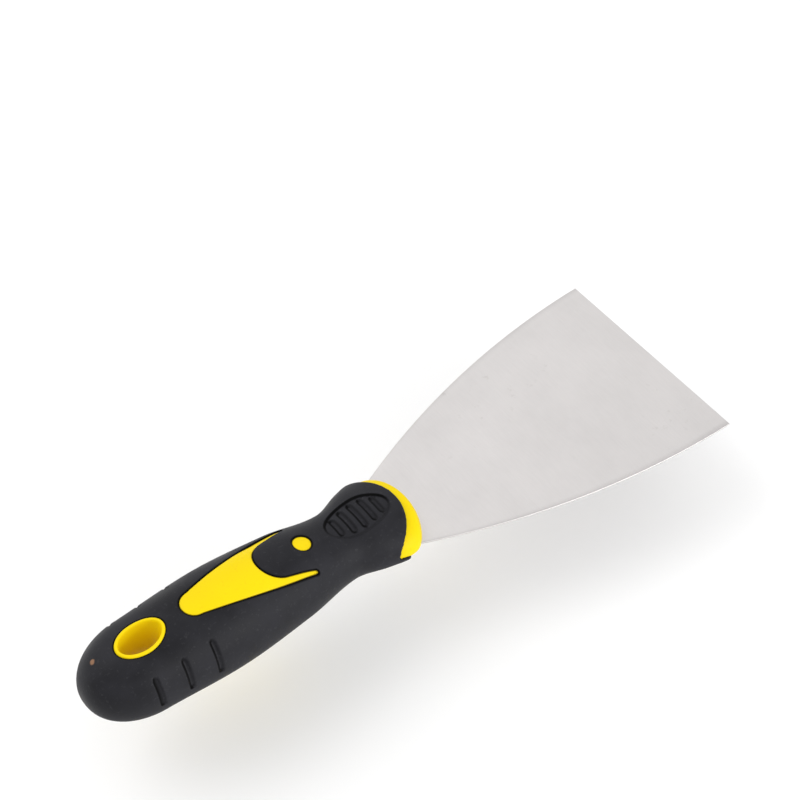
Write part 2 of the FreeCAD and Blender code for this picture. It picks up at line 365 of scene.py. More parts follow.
def groove_field(place, turn):
    """Distance to the nearest of the thumb pad's cross grooves."""
    y = plan_y(place, turn)
    nearest = np.full(np.shape(place), 1.0)
    for step in range(GROOVE_COUNT):
        offset = GROOVE_PITCH * (step - (GROOVE_COUNT - 1) / 2)
        chord = PAD_HALF_WIDTH * math.sqrt(1 - (offset / PAD_HALF_LENGTH) ** 2)
        reach = chord - GROOVE_END_MARGIN - GROOVE_WIDTH / 2
        nearest = np.minimum(nearest, bar_distance(place - PAD_PLACE - offset, y, reach, GROOVE_WIDTH / 2))
    return nearest


def slot_field(place, turn):
    """Distance to the nearest finger slot, each a bar with a round top that runs down a side to its foot."""
    point = handle_point(place, turn)
    y, above_foot = np.abs(point[..., 1]), point[..., 2] - SLOT_FOOT_LEVEL
    inward = np.maximum(SLOT_INNER_EDGE + SLOT_WIDTH / 2 - y, 0.0)
    nearest = np.full(np.shape(place), 1.0)
    for step in range(SLOT_COUNT):
        offset = place - SLOT_FIRST_PLACE + SLOT_PITCH * step
        nearest = np.minimum(nearest, np.hypot(offset, inward) - SLOT_WIDTH / 2)
    return np.maximum(nearest, -above_foot)


def window_field(place, turn):
    """Distance to the rubber's edge: positive on the rubber, negative in a window or ahead of the grip."""
    return np.minimum.reduce([field(place, turn) for field in (*WINDOW_FIELDS, front_field)])


# ---- sculpted depth

def smooth_step(value, start, end):
    """Rises smoothly from nought to one between two values."""
    u = np.clip((value - start) / (end - start), 0.0, 1.0)
    return u * u * (3 - 2 * u)


def rolled_edge(distance, radius):
    """Depth of a quarter-round edge, full at the edge and nought one radius in from it."""
    u = np.clip(1 - distance / radius, 0.0, 1.0)
    return 1 - np.sqrt(1 - u * u)


def grip_depth(place, turn):
    """How far the rubber lies under the plain form: thumb pad, grooves, finger slots and rolled edges."""
    wall = FEATURE_WALL
    pad = smooth_step(-pad_field(place, turn), -wall, wall) * PAD_DEPTH
    groove = smooth_step(-groove_field(place, turn), -wall, 1.4 * wall) * GROOVE_DEPTH
    slot = smooth_step(-slot_field(place, turn), -1.2 * wall, 1.6 * wall) * SLOT_DEPTH
    edges = [rolled_edge(np.abs(field(place, turn)), WINDOW_ROLL) * EDGE_DEPTH for field in WINDOW_FIELDS]
    front = rolled_edge(np.maximum(front_field(place, turn), 0.0), FRONT_ROLL) * FRONT_ROLL
    return np.maximum.reduce([pad + groove, slot, front] + edges)


def grip_fold(place, turn):
    """Distance to the rubber's nearest fold, and how much painted shade that fold gets.

    The folds are the windows' edges, the pad's rim, the grooves and the slots. The painted
    shade on a rim or a groove's wall is darkest where it faces away from the light behind the knife.
    a groove's wall is darkest where it faces away from the light behind the knife.
    """
    y = plan_y(place, turn)
    row = (place - PAD_PLACE) / GROOVE_PITCH
    behind = smooth_step(row - np.round(row), -0.06, 0.06)
    slot_row = (place - SLOT_FIRST_PLACE) / SLOT_PITCH
    slot_behind = smooth_step(slot_row - np.round(slot_row), -0.03, 0.03)
    windows = np.minimum.reduce([np.abs(field(place, turn)) for field in WINDOW_FIELDS])
    distances = np.stack(
        [np.abs(field(place, turn)) for field in (pad_field, groove_field, slot_field)] + [windows])
    # Painted shade for each kind of fold: the pad's rim darkest on its far side, groove and slot walls darkest
    # where they face away from the light, windows' edges dark all round.
    painted_shade = np.stack([
        0.25 + 0.75 * smooth_step(y, -3 * MM, 2 * MM), 0.35 + 0.65 * behind,
        0.12 + 0.88 * slot_behind, np.ones_like(y)])
    nearest = distances.argmin(0)[None]
    return np.take_along_axis(distances, nearest, 0)[0], np.take_along_axis(painted_shade, nearest, 0)[0]


def core_fold(field):
    """Distance to the rubber round a window of the core, and how much painted shade the core gets there."""
    def fold(place, turn):
        distance = np.abs(field(place, turn))
        # Painted shade: the core darkens by the same amount all round its windows' edges.
        return distance, np.full_like(distance, 0.8)
    return fold


def panel_depth(field):
    """Depth of the core's windows under the plain form, meeting the rubber's rolled edge.

    The thumb disc stands proud, so the core lies deeper round it.
    """
    def depth(place, turn):
        recess = PANEL_RECESS + DISC_STEP * smooth_step(-place, -DISC_PLACE - 10 * MM, -DISC_PLACE - 3 * MM)
        roll = rolled_edge(np.abs(field(place, turn)), CORE_ROLL)
        return recess + np.maximum(EDGE_DEPTH - recess, 0.0) * roll
    return depth


# ---- meshes cut along a field

def surface_grid(places, turns):
    """Triangles over a grid of places and turns, as flat arrays of place, turn and corner numbers."""
    place, turn = (a.ravel() for a in np.meshgrid(places, turns, indexing="ij"))
    rows, columns = np.meshgrid(np.arange(len(places) - 1), np.arange(len(turns) - 1), indexing="ij")
    corner = (rows * len(turns) + columns).ravel()
    right, below = corner + 1, corner + len(turns)
    across = below + 1
    flip = ((rows + columns) % 2 == 0).ravel()
    first = np.stack([corner, right, np.where(flip, across, below)], 1)
    second = np.stack([np.where(flip, corner, right), across, below], 1)
    return place, turn, np.concatenate([first, second])


def snap_to(field, place, turn, reach):
    """Moves points that lie nearly on a field's zero line onto it, down the field's own slope."""
    for _ in range(2):
        value = field(place, turn)
        step = 0.01 * MM
        radius = 12 * MM
        by_place = (field(place + step, turn) - value) / step
        by_turn = (field(place, turn + step / radius) - value) / step
        slope = by_place ** 2 + by_turn ** 2
        movable = (np.abs(value) < reach) & (slope > 0.2) & (slope < 5.0)
        shift = np.where(movable, -value / np.maximum(slope, 0.2), 0.0)
        place = place + shift * by_place
        turn = turn + shift * by_turn / radius
    value = field(place, turn)
    value[np.abs(value) < 0.03 * MM] = 0.0
    return place, turn, value


def cut_along(field, place, turn, corners, reach=0.12 * MM):
    """Splits triangles where a field crosses nought, so that an edge loop runs exactly along it."""
    seam = (turn <= 1e-9) | (turn >= math.tau - 1e-9)
    moved_place, moved_turn, value = snap_to(field, place.copy(), turn.copy(), reach)
    place = np.where(seam, place, moved_place)
    turn = np.where(seam, turn, moved_turn)
    value = np.where(seam, field(place, turn), value)
    value[np.abs(value) < 0.03 * MM] = 0.0
    sign = np.sign(value)
    # Turn each triangle so that its odd corner comes first: the one alone on its side,
    # or the one on the line when the other two lie either side of it.
    s = sign[corners]
    crossings = np.stack([s[:, k] * s[:, (k + 1) % 3] < 0 for k in range(3)], axis=1)
    count = crossings.sum(1)
    kept = corners[count == 0]
    one = corners[count == 1]
    roll = (np.argmax(crossings[count == 1], axis=1) + 2) % 3
    one = np.take_along_axis(one, (roll[:, None] + np.arange(3)) % 3, axis=1)
    two = corners[count == 2]
    roll = (np.argmin(crossings[count == 2], axis=1) + 2) % 3
    two = np.take_along_axis(two, (roll[:, None] + np.arange(3)) % 3, axis=1)
    edges = np.sort(np.concatenate([one[:, 1:], two[:, :2], two[:, [0, 2]]]), axis=1)
    unique, number = np.unique(edges, axis=0, return_inverse=True)
    number = number.ravel() + len(place)
    low, high = value[unique[:, 0]], value[unique[:, 1]]
    t = low / (low - high)
    place = np.concatenate([place, place[unique[:, 0]] * (1 - t) + place[unique[:, 1]] * t])
    turn = np.concatenate([turn, turn[unique[:, 0]] * (1 - t) + turn[unique[:, 1]] * t])
    middle = number[:len(one)]
    left = number[len(one):len(one) + len(two)]
    right = number[len(one) + len(two):]
    pieces = [
        kept,
        np.stack([one[:, 0], one[:, 1], middle], 1), np.stack([one[:, 0], middle, one[:, 2]], 1),
        np.stack([two[:, 0], left, right], 1), np.stack([left, two[:, 1], two[:, 2]], 1),
        np.stack([left, two[:, 2], right], 1),
    ]
    return place, turn, np.concatenate(pieces)


def shifted(field, level):
    """The same field, with its zero line moved to a level."""
    return lambda place, turn: field(place, turn) - level


def keep_side(field, place, turn, corners, side):
    """The triangles on one side of a field's zero line."""
    middle = field(place[corners].mean(1), turn[corners].mean(1))
    return corners[middle * side > 0]


def merged(points, corners, limit=0.004 * MM):
    """Joins points that lie together, drops triangles that this empties, and numbers the points kept."""
    cells = np.round(points / limit).astype(np.int64)
    _, first, number = np.unique(cells, axis=0, return_index=True, return_inverse=True)
    corners = number.ravel()[corners]
    corners = corners[(corners != np.roll(corners, 1, axis=1)).all(1)]
    used, renumbered = np.unique(corners, return_inverse=True)
    return points[first][used], renumbered.reshape(-1, 3), first[used]


# ---- Blender meshes

def new_piece(name, points, faces, material):
    """A mesh object at the origin from points and faces, smooth shaded, with its material."""
    mesh = bpy.data.meshes.new(name)
    mesh.from_pydata(np.asarray(points).tolist(), [], faces if isinstance(faces, list) else faces.tolist())
    mesh.validate()
    mesh.shade_smooth()
    piece = bpy.data.objects.new(name, mesh)
    bpy.context.scene.collection.objects.link(piece)
    mesh.materials.append(material)
    return piece


def loop_faces(rings, count):
    """Quads between closed rings of points, each ring following the last."""
    ring, step = np.meshgrid(np.arange(rings - 1), np.arange(count), indexing="ij")
    ring, step = ring.ravel(), step.ravel()
    ahead = (step + 1) % count
    return np.stack([
        ring * count + step, ring * count + ahead, (ring + 1) * count + ahead, (ring + 1) * count + step
    ], axis=1)


def point_attribute(piece, name, values):
    """Stores one number per point, for the materials to read."""
    attribute = piece.data.attributes.new(name, "FLOAT", "POINT")
    attribute.data.foreach_set("value", np.asarray(values, np.float32))


def solid_skin(piece, thickness):
    """Gives an open surface its wall, grown inwards and closed at the rims."""
    wall = piece.modifiers.new("Wall", "SOLIDIFY")
    wall.thickness = thickness
    wall.offset = -1.0
    wall.use_rim = True


def outward(piece):
    """Turns the mesh the right way out if most of its faces look inwards."""
    mesh = piece.data
    measures = {"center": 3, "normal": 3, "area": 1}
    for measure, width in measures.items():
        measures[measure] = np.empty(len(mesh.polygons) * width)
        mesh.polygons.foreach_get(measure, measures[measure])
    centres, normals = (measures[name].reshape(-1, 3) for name in ("center", "normal"))
    if ((centres - centres.mean(0)) * normals).sum(1) @ measures["area"] < 0:
        mesh.flip_normals()
    mesh.update()


def settle(piece, body, slot, *nodes):
    """Puts a piece on its body and hides the CAD nodes that it stands for."""
    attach(piece, body)
    if nodes:
        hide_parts(*nodes)


# ---- grip and core grid

def handle_grid(step):
    """The handle's surface as a grid of triangles, finer round the butt, cut along every feature's edges."""
    rows = int(round(HEEL_PLACE / step))
    butt = np.linspace(0, math.pi / 2, 34)[1:]
    places = np.concatenate([
        np.linspace(2.5 * MM, HEEL_PLACE, rows),
        HEEL_PLACE + BUTT_LENGTH * np.sin(butt),
    ])
    turns = np.linspace(0, math.tau, 129)
    place, turn, corners = surface_grid(places, turns)
    cuts = [
        (pad_field, FEATURE_WALL, (1.0, 0.0, -1.0)), (groove_field, FEATURE_WALL, (1.0, 0.0, -1.4)),
        (slot_field, FEATURE_WALL, (1.2, 0.0, -1.6)),
        *((field, MM, (0.55, 0.28, 0.0, -0.3)) for field in WINDOW_FIELDS),
        (front_field, MM, (0.9, 0.45, 0.0)),
    ]
    for field, unit, levels in cuts:
        for level in levels:
            place, turn, corners = cut_along(shifted(field, level * unit), place, turn, corners)
    return place, turn, corners


GRID = {}


def shared_grid():
    """The handle's cut grid, worked out once."""
    if not GRID:
        GRID["parts"] = handle_grid(bpy.context.scene.knife_sizes.grid_step)
    return GRID["parts"]


def skin_piece(name, corners, depth, fold, material):
    """A piece of the handle's surface at a depth under the plain form, that knows how far its folds are and how
    much painted shade lies in them.
    """
    place, turn, _ = shared_grid()
    points, faces, first = merged(handle_point(place, turn, depth(place, turn) + FORM_SLACK), corners)
    piece = new_piece(name, points, faces, material)
    distance, painted_shade = fold(place[first], turn[first])
    # Per point: distance to the nearest fold, and the painted shade that fold gets.
    point_attribute(piece, "fold_distance", np.minimum(distance / MM, 4.0))
    point_attribute(piece, "fold_painted_shade", painted_shade)
    outward(piece)
    return piece


# ---- materials

def node_group(name, inputs, outputs):
    """An empty shader node group with named sockets, and its input and output nodes."""
    group = bpy.data.node_groups.new(name, "ShaderNodeTree")
    for label, kind, default in inputs:
        socket = group.interface.new_socket(name=label, in_out="INPUT", socket_type=kind)
        socket.default_value = default
    for label, kind in outputs:
        group.interface.new_socket(name=label, in_out="OUTPUT", socket_type=kind)
    return group, group.nodes.new("NodeGroupInput"), group.nodes.new("NodeGroupOutput")


def feed(group, socket, value):
    """Gives a socket a number, a colour or another node's output."""
    if isinstance(value, (int, float, tuple)):
        socket.default_value = value
    else:
        group.links.new(value, socket)


def math_node(group, operation, first, second):
    """One sum in a node tree, fed by sockets or numbers."""
    node = group.nodes.new("ShaderNodeMath")
    node.operation = operation
    feed(group, node.inputs[0], first)
    feed(group, node.inputs[1], second)
    return node.outputs[0]


def plus(group, base, value, amount):
    """A base and an amount of another value."""
    return math_node(group, "ADD", base, math_node(group, "MULTIPLY", value, amount))


def swing(group, value, amount):
    """A noise swung about nought by an amount."""
    return math_node(group, "MULTIPLY", math_node(group, "SUBTRACT", value, 0.5), amount)


def brightened(group, colour, spread):
    """A colour scaled by one and a spread."""
    node = group.nodes.new("ShaderNodeVectorMath")
    node.operation = "SCALE"
    group.links.new(colour, node.inputs[0])
    group.links.new(math_node(group, "ADD", spread, 1.0), node.inputs["Scale"])
    return node.outputs[0]


def mix_colour(group, factor, first, second):
    """Mixes two colours by a mask."""
    node = group.nodes.new("ShaderNodeMix")
    node.data_type = "RGBA"
    group.links.new(factor, node.inputs["Factor"])
    feed(group, node.inputs[6], first)
    feed(group, node.inputs[7], second)
    return node.outputs[2]


def noise(group, vector, scale, detail, roughness=0.5):
    """Noise at a scale given in cycles per metre, fed by a socket or a number."""
    node = group.nodes.new("ShaderNodeTexNoise")
    node.inputs["Detail"].default_value = detail
    node.inputs["Roughness"].default_value = roughness
    group.links.new(vector, node.inputs["Vector"])
    feed(group, node.inputs["Scale"], scale)
    return node.outputs["Fac"]


def remap(group, value, low, high, to_low, to_high):
    """Stretches a range of values to another, held at both ends."""
    node = group.nodes.new("ShaderNodeMapRange")
    group.links.new(value, node.inputs["Value"])
    for name, number in zip(("From Min", "From Max", "To Min", "To Max"), (low, high, to_low, to_high)):
        feed(group, node.inputs[name], number)
    return node.outputs[0]


def moulded_surface_group():
    """Moulded skin: fine grain, soft cloudy variation, and painted shade in the folds, which are also duller.
    """
    group, source, sink = node_group(
        "Moulded surface",
        [("Vector", "NodeSocketVector", (0, 0, 0)), ("Colour", "NodeSocketColor", (1, 1, 1, 1)),
         ("Painted Shade Colour", "NodeSocketColor", (0, 0, 0, 1)), ("Painted Shade", "NodeSocketFloat", 0.0),
         ("Grain Scale", "NodeSocketFloat", 5000.0), ("Cloud Scale", "NodeSocketFloat", 60.0),
         ("Cloud Amount", "NodeSocketFloat", 0.1), ("Roughness", "NodeSocketFloat", 0.5),
         ("Speck Colour", "NodeSocketColor", (1, 1, 1, 1)), ("Speck Amount", "NodeSocketFloat", 0.2)],
        [("Colour", "NodeSocketColor"), ("Roughness", "NodeSocketFloat"), ("Height", "NodeSocketFloat")])
    vector = source.outputs["Vector"]
    cloud = noise(group, vector, source.outputs["Cloud Scale"], 3.0, 0.6)
    grain = noise(group, vector, source.outputs["Grain Scale"], 2.0, 0.5)
    spread = swing(group, cloud, source.outputs["Cloud Amount"])
    bright = brightened(group, source.outputs["Colour"], spread)
    speck = noise(group, vector, 900.0, 2.0, 0.6)
    speck = remap(group, speck, 0.60, 0.72, 0.0, source.outputs["Speck Amount"])
    colour = mix_colour(group, speck, bright, source.outputs["Speck Colour"])
    # Painted shade: the colour is mixed towards a near-black shade colour by the mask of painted shade in the
    # folds.
    colour = mix_colour(group, source.outputs["Painted Shade"], colour, source.outputs["Painted Shade Colour"])
    group.links.new(colour, sink.inputs["Colour"])
    rough = plus(group, source.outputs["Roughness"], spread, 0.3)
    rough = plus(group, rough, source.outputs["Painted Shade"], 0.4)
    rough = math_node(group, "ADD", rough, swing(group, grain, 0.08))
    group.links.new(rough, sink.inputs["Roughness"])
    group.links.new(grain, sink.inputs["Height"])
    return group


def steel_surface_group():
    """Ground sheet steel: fine streaks across the blade, cloudy patches and a few faint spots."""
    group, source, sink = node_group(
        "Ground steel",
        [("Vector", "NodeSocketVector", (0, 0, 0)), ("Colour", "NodeSocketColor", (1, 1, 1, 1)),
         ("Spot Colour", "NodeSocketColor", (0.4, 0.38, 0.36, 1)), ("Roughness", "NodeSocketFloat", 0.4)],
        [("Colour", "NodeSocketColor"), ("Roughness", "NodeSocketFloat"), ("Height", "NodeSocketFloat")])
    stretch = group.nodes.new("ShaderNodeMapping")
    stretch.inputs["Scale"].default_value = (1.0, 0.06, 1.0)
    group.links.new(source.outputs["Vector"], stretch.inputs["Vector"])
    streak = noise(group, stretch.outputs[0], 2600.0, 3.0, 0.6)
    cloud = noise(group, source.outputs["Vector"], 34.0, 4.0, 0.62)
    speck = noise(group, source.outputs["Vector"], 260.0, 3.0, 0.7)
    patch = noise(group, source.outputs["Vector"], 16.0, 1.0, 0.5)
    spread = math_node(group, "ADD", swing(group, cloud, 0.26), swing(group, streak, 0.10))
    bright = brightened(group, source.outputs["Colour"], spread)
    spots = remap(group, speck, 0.62, 0.74, 0.0, 1.0)
    spots = math_node(group, "MULTIPLY", spots, remap(group, patch, 0.5, 0.62, 0.0, 0.22))
    colour = mix_colour(group, spots, bright, source.outputs["Spot Colour"])
    group.links.new(colour, sink.inputs["Colour"])
    rough = plus(group, source.outputs["Roughness"], spread, 0.9)
    group.links.new(plus(group, rough, spots, 0.15), sink.inputs["Roughness"])
    group.links.new(streak, sink.inputs["Height"])
    return group


def new_material(name):
    """A material with a Principled shader, and the nodes that the surface groups need."""
    material = bpy.data.materials.new(name)
    material.use_nodes = True
    tree = material.node_tree
    return material, tree, tree.nodes["Principled BSDF"], tree.nodes.new("ShaderNodeTexCoord")


def place_group(tree, shader, coordinates, group, values, bump_strength, bump_distance):
    """Places a surface group and wires its colour, roughness and height to the shader."""
    node = tree.nodes.new("ShaderNodeGroup")
    node.node_tree = group
    for label, value in values.items():
        node.inputs[label].default_value = value
    tree.links.new(coordinates.outputs["Object"], node.inputs["Vector"])
    tree.links.new(node.outputs["Colour"], shader.inputs["Base Color"])
    tree.links.new(node.outputs["Roughness"], shader.inputs["Roughness"])
    bump = tree.nodes.new("ShaderNodeBump")
    bump.inputs["Strength"].default_value = bump_strength
    bump.inputs["Distance"].default_value = bump_distance
    tree.links.new(node.outputs["Height"], bump.inputs["Height"])
    tree.links.new(bump.outputs["Normal"], shader.inputs["Normal"])
    return node


def painted_shade_mask(tree, node, reach):
    """Feeds a surface group's painted shade from the mesh's distance to its folds, dark within a reach in mm.
    """
    near, dark = (tree.nodes.new("ShaderNodeAttribute") for _ in range(2))
    near.attribute_name = "fold_distance"
    dark.attribute_name = "fold_painted_shade"
    # Painted shade: full within 0.35 of the reach from a fold, gone at the reach, scaled by that fold's share
    # of painted shade.
    mask = remap(tree, near.outputs["Fac"], 0.35 * reach, reach, 1.0, 0.0)
    tree.links.new(math_node(tree, "MULTIPLY", mask, dark.outputs["Fac"]), node.inputs["Painted Shade"])


def finish_of(name):
    """The knife's materials by name, made once."""
    found = bpy.data.materials.get(name)
    return found if found else FINISHES[name](name)


def grip_rubber(name):
    """Soft black moulded rubber."""
    material, tree, shader, coordinates = new_material(name)
    colour = tuple(bpy.context.scene.knife_colours.grip)
    group = bpy.data.node_groups.get("Moulded surface") or moulded_surface_group()
    node = place_group(tree, shader, coordinates, group, {
        # The near-black shade colour below is painted shade for the rubber's folds.
        "Colour": (*colour, 1), "Painted Shade Colour": (0.0012, 0.0012, 0.0014, 1),
        "Grain Scale": 2600.0, "Cloud Scale": 70.0, "Cloud Amount": 1.8, "Roughness": 0.5,
        "Speck Colour": (0.10, 0.10, 0.105, 1), "Speck Amount": 0.12,
    }, bump_strength=0.5, bump_distance=0.08 * MM)
    # Painted shade in the rubber's folds, within 0.58 mm of them.
    painted_shade_mask(tree, node, reach=0.58)
    gate_mark(tree, shader, coordinates, node)
    shader.inputs["Specular IOR Level"].default_value = 0.13
    return material


def gate_mark(tree, shader, coordinates, node):
    """Lays the small brown mark of the moulding's gate over the rubber's colour, near the butt."""
    centre = handle_point(np.array(GATE_PLACE), np.arccos(GATE_SIDE / (14.0 * MM)))
    away = tree.nodes.new("ShaderNodeVectorMath")
    away.operation = "DISTANCE"
    away.inputs[1].default_value = centre.tolist()
    tree.links.new(coordinates.outputs["Object"], away.inputs[0])
    ragged = noise(tree, coordinates.outputs["Object"], 900.0, 2.0)
    distance = plus(tree, away.outputs["Value"], ragged, 0.6 * MM)
    mask = remap(tree, distance, 0.9 * MM, 1.35 * MM, 0.85, 0.0)
    colour = mix_colour(tree, mask, node.outputs["Colour"], (0.30, 0.16, 0.09, 1))
    tree.links.new(colour, shader.inputs["Base Color"])


def core_plastic(name):
    """Hard yellow moulded plastic."""
    material, tree, shader, coordinates = new_material(name)
    colour = tuple(bpy.context.scene.knife_colours.core)
    group = bpy.data.node_groups.get("Moulded surface") or moulded_surface_group()
    node = place_group(tree, shader, coordinates, group, {
        # The dark shade colour below is painted shade where the core meets the rubber.
        "Colour": (*colour, 1), "Painted Shade Colour": (0.03, 0.02, 0.002, 1),
        "Grain Scale": 1800.0, "Cloud Scale": 45.0, "Cloud Amount": 0.10, "Roughness": 0.42,
        "Speck Colour": (0.80, 0.50, 0.01, 1), "Speck Amount": 0.3,
    }, bump_strength=0.12, bump_distance=0.04 * MM)
    # Painted shade on the core within 0.3 mm of the rubber round its windows.
    painted_shade_mask(tree, node, reach=0.3)
    shader.inputs["Specular IOR Level"].default_value = 0.08
    return material


def blade_steel(name):
    """Satin ground spring steel."""
    material, tree, shader, coordinates = new_material(name)
    colour = tuple(bpy.context.scene.knife_colours.steel)
    group = bpy.data.node_groups.get("Ground steel") or steel_surface_group()
    place_group(tree, shader, coordinates, group, {
        "Colour": (*colour, 1), "Spot Colour": (0.42, 0.39, 0.36, 1), "Roughness": 0.42,
    }, bump_strength=0.10, bump_distance=0.03 * MM)
    shader.inputs["Metallic"].default_value = 1.0
    return material


FINISHES = {"black_rubber": grip_rubber, "yellow_plastic": core_plastic, "ground_steel": blade_steel}


# ---- pieces

class KNIFE_OT_grip(bpy.types.Operator):
    """Soft black grip with its windows, thumb pads, finger slots and rolled edges"""
    bl_idname = "knife.grip"
    bl_label = "Grip"

    def execute(self, context):
        place, turn, corners = shared_grid()
        rubber = keep_side(window_field, place, turn, corners, 1)
        piece = skin_piece("grip_skin", rubber, grip_depth, grip_fold, finish_of("black_rubber"))
        solid_skin(piece, context.scene.knife_sizes.skin)
        settle(piece, "handle", "grip_rubber", "grip")
        return {"FINISHED"}


class KNIFE_OT_windows(bpy.types.Operator):
    """Yellow panels and dots of the core, on both faces"""
    bl_idname = "knife.windows"
    bl_label = "Panels and dots"

    def execute(self, context):
        place, turn, corners = shared_grid()
        for name, field in (("panel", panel_field), ("dot", dot_field)):
            inside = keep_side(field, place, turn, corners, -1)
            face = turn[inside].mean(1) < math.pi
            for side, part in (("upper", inside[face]), ("under", inside[~face])):
                piece = skin_piece(
                    f"{name}_{side}", part, panel_depth(field), core_fold(field), finish_of("yellow_plastic"))
                solid_skin(piece, 2.0 * MM)
                settle(piece, "handle", "core_plastic", "handle_core")
        return {"FINISHED"}


class KNIFE_OT_core_body(bpy.types.Operator):
    """The core's body under the grip, open where the hanging hole passes"""
    bl_idname = "knife.core_body"
    bl_label = "Core body"

    def execute(self, context):
        butt = np.linspace(0, math.pi / 2, 16)[1:]
        places = np.concatenate([
            np.linspace(10 * MM, HEEL_PLACE, 50), HEEL_PLACE + BUTT_LENGTH * np.sin(butt)])
        place, turn, corners = surface_grid(places, np.linspace(0, math.tau, 65))
        place, turn, corners = cut_along(eyelet_field, place, turn, corners)
        corners = keep_side(eyelet_field, place, turn, corners, 1)
        points, faces, first = merged(handle_point(place, turn, GRIP_SKIN * np.ones_like(place)), corners)
        piece = new_piece("core_body", points, faces, finish_of("yellow_plastic"))
        outward(piece)
        solid_skin(piece, 1.5 * MM)
        settle(piece, "handle", "core_plastic", "handle_core")
        return {"FINISHED"}


class KNIFE_OT_collar(bpy.types.Operator):
    """Domed yellow collar that the blade comes out of"""
    bl_idname = "knife.collar"
    bl_label = "Collar"

    def execute(self, context):
        piece = new_piece("collar", *collar_surface(), finish_of("yellow_plastic"))
        outward(piece)
        settle(piece, "handle", "core_plastic", "handle_core")
        return {"FINISHED"}


def collar_surface():
    """Rings of the collar from its front pole back to under the grip.

    Each ring's reach at a turn is the lesser of the dome's oval, whose sizes go as the
    sine of the angle round the dome, and of the grip's form less the collar's skin,
    rounded where the two meet by adding their inverse twenty-fourth powers.
    """
    centre = COLLAR_HALF_LENGTH - COLLAR_REACH
    lean = np.linspace(0.02, math.pi / 2, 60)
    places = np.concatenate([centre - COLLAR_HALF_LENGTH * np.cos(lean), [centre + 2 * MM, centre + 3 * MM]])
    swell = np.concatenate([np.sin(lean), [0.9, 0.5]])
    turns = np.linspace(0, math.tau, 128, endpoint=False)
    place, turn = np.meshgrid(places, turns, indexing="ij")
    across, up = np.cos(turn), np.sin(turn)
    dome = swell[:, None] / np.hypot(across / COLLAR_HALF_WIDTH, up / COLLAR_HALF_HEIGHT)
    half_width, height, depth, rise = sizes_at(place)
    reach = np.where(up > 0, height + rise, depth - rise) - COLLAR_SKIN
    body = 1 / np.hypot(across / (half_width - COLLAR_SIDE_SKIN), up / reach)
    body = body * np.where(place > centre, swell[:, None], 1.0)
    blend = 24.0
    radius = body * ((body / dome) ** blend + 1) ** (-1 / blend)
    points = np.stack([DATUM_X - place, radius * across, radius * up], axis=-1).reshape(-1, 3)
    ring = np.arange(len(turns))
    last = (len(places) - 1) * len(turns)
    faces = loop_faces(len(places), len(turns)).tolist() + [ring[::-1].tolist(), (last + ring).tolist()]
    return points, faces


class KNIFE_OT_eyelet(bpy.types.Operator):
    """Oval lip and funnelled lining of the hanging hole"""
    bl_idname = "knife.eyelet"
    bl_label = "Eyelet"

    def execute(self, context):
        piece = new_piece("eyelet", *eyelet_surface(), finish_of("yellow_plastic"))
        outward(piece)
        settle(piece, "handle", "core_plastic", "handle_core")
        return {"FINISHED"}


def face_height(place, y, upper):
    """Height of the handle's upper or under face over a plan point, from its section's superellipse."""
    half_width, height, depth, rise = sizes_at(place)
    share = np.clip((place - HEEL_PLACE) / BUTT_LENGTH, 0.0, 0.999)
    shrink = (1 - share ** 2) ** (1 / BUTT_POWER)
    power = TOP_POWER if upper else UNDER_POWER
    level = np.clip(1 - np.abs(y / (half_width * shrink)) ** power, 0.0, 1.0) ** (1 / power)
    return rise + (height if upper else -depth) * shrink * level


def eyelet_surface():
    """Rings of the eyelet, each an oval.

    Going round the lining's wall in section: up the outside of the lip, over its bead,
    down the funnel to the narrow middle, out again to the under face, and back inside.
    """
    count = 96
    angles = np.linspace(0, math.tau, count, endpoint=False)
    bead = np.linspace(0, math.pi, 13)
    inward = np.concatenate([[0.0], EYELET_LIP * (1 - np.cos(bead)) / 2])[:, None]
    crest = 0.2 * MM
    fall = np.where(bead < math.pi / 2, EDGE_DEPTH + crest, 1.7 * MM)
    over = np.concatenate([[-1.2 * MM], crest - fall * (1 - np.sin(bead) ** 0.8)])[:, None]
    place = EYELET_PLACE - (EYELET_HALF_LENGTH - inward) * np.cos(angles)
    y = (EYELET_HALF_WIDTH - inward) * np.sin(angles)
    top = np.stack([DATUM_X - place, y, face_height(place, y, True) + over], axis=-1)
    bottom = np.stack([DATUM_X - place, y, face_height(place, y, False) - over], axis=-1)
    _, height, depth, rise = sizes_at(np.array(EYELET_PLACE))
    narrow = np.stack([
        DATUM_X - EYELET_PLACE + (EYELET_HALF_LENGTH - EYELET_LIP - EYELET_TAPER) * np.cos(angles),
        (EYELET_HALF_WIDTH - EYELET_LIP - EYELET_TAPER) * np.sin(angles),
        np.full(count, rise + (height - depth) / 2)], axis=-1)
    share = np.linspace(0, 1, 16)[1:, None, None]
    inwards = np.concatenate([np.repeat(1 - (1 - share) ** 1.5, 2, axis=2), share], axis=2)
    funnel = top[-1] + (narrow - top[-1]) * inwards
    outlet = (bottom[-1] + (narrow - bottom[-1]) * inwards)[-2::-1]
    rings = np.concatenate([top, funnel, outlet, bottom[::-1]])
    faces = loop_faces(len(rings) + 1, count)
    return rings.reshape(-1, 3), faces % (len(rings) * count)


class KNIFE_OT_blade(bpy.types.Operator):
    """The whole blade: one sheet of steel from the working edge to the end of its tang"""
    bl_idname = "knife.blade"
    bl_label = "Blade"

    def execute(self, context):
        piece = new_piece("blade_sheet", *blade_surface(), finish_of("ground_steel"))
        outward(piece)
        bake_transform(piece)
        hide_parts("blade", "blade_tang")
        return {"FINISHED"}


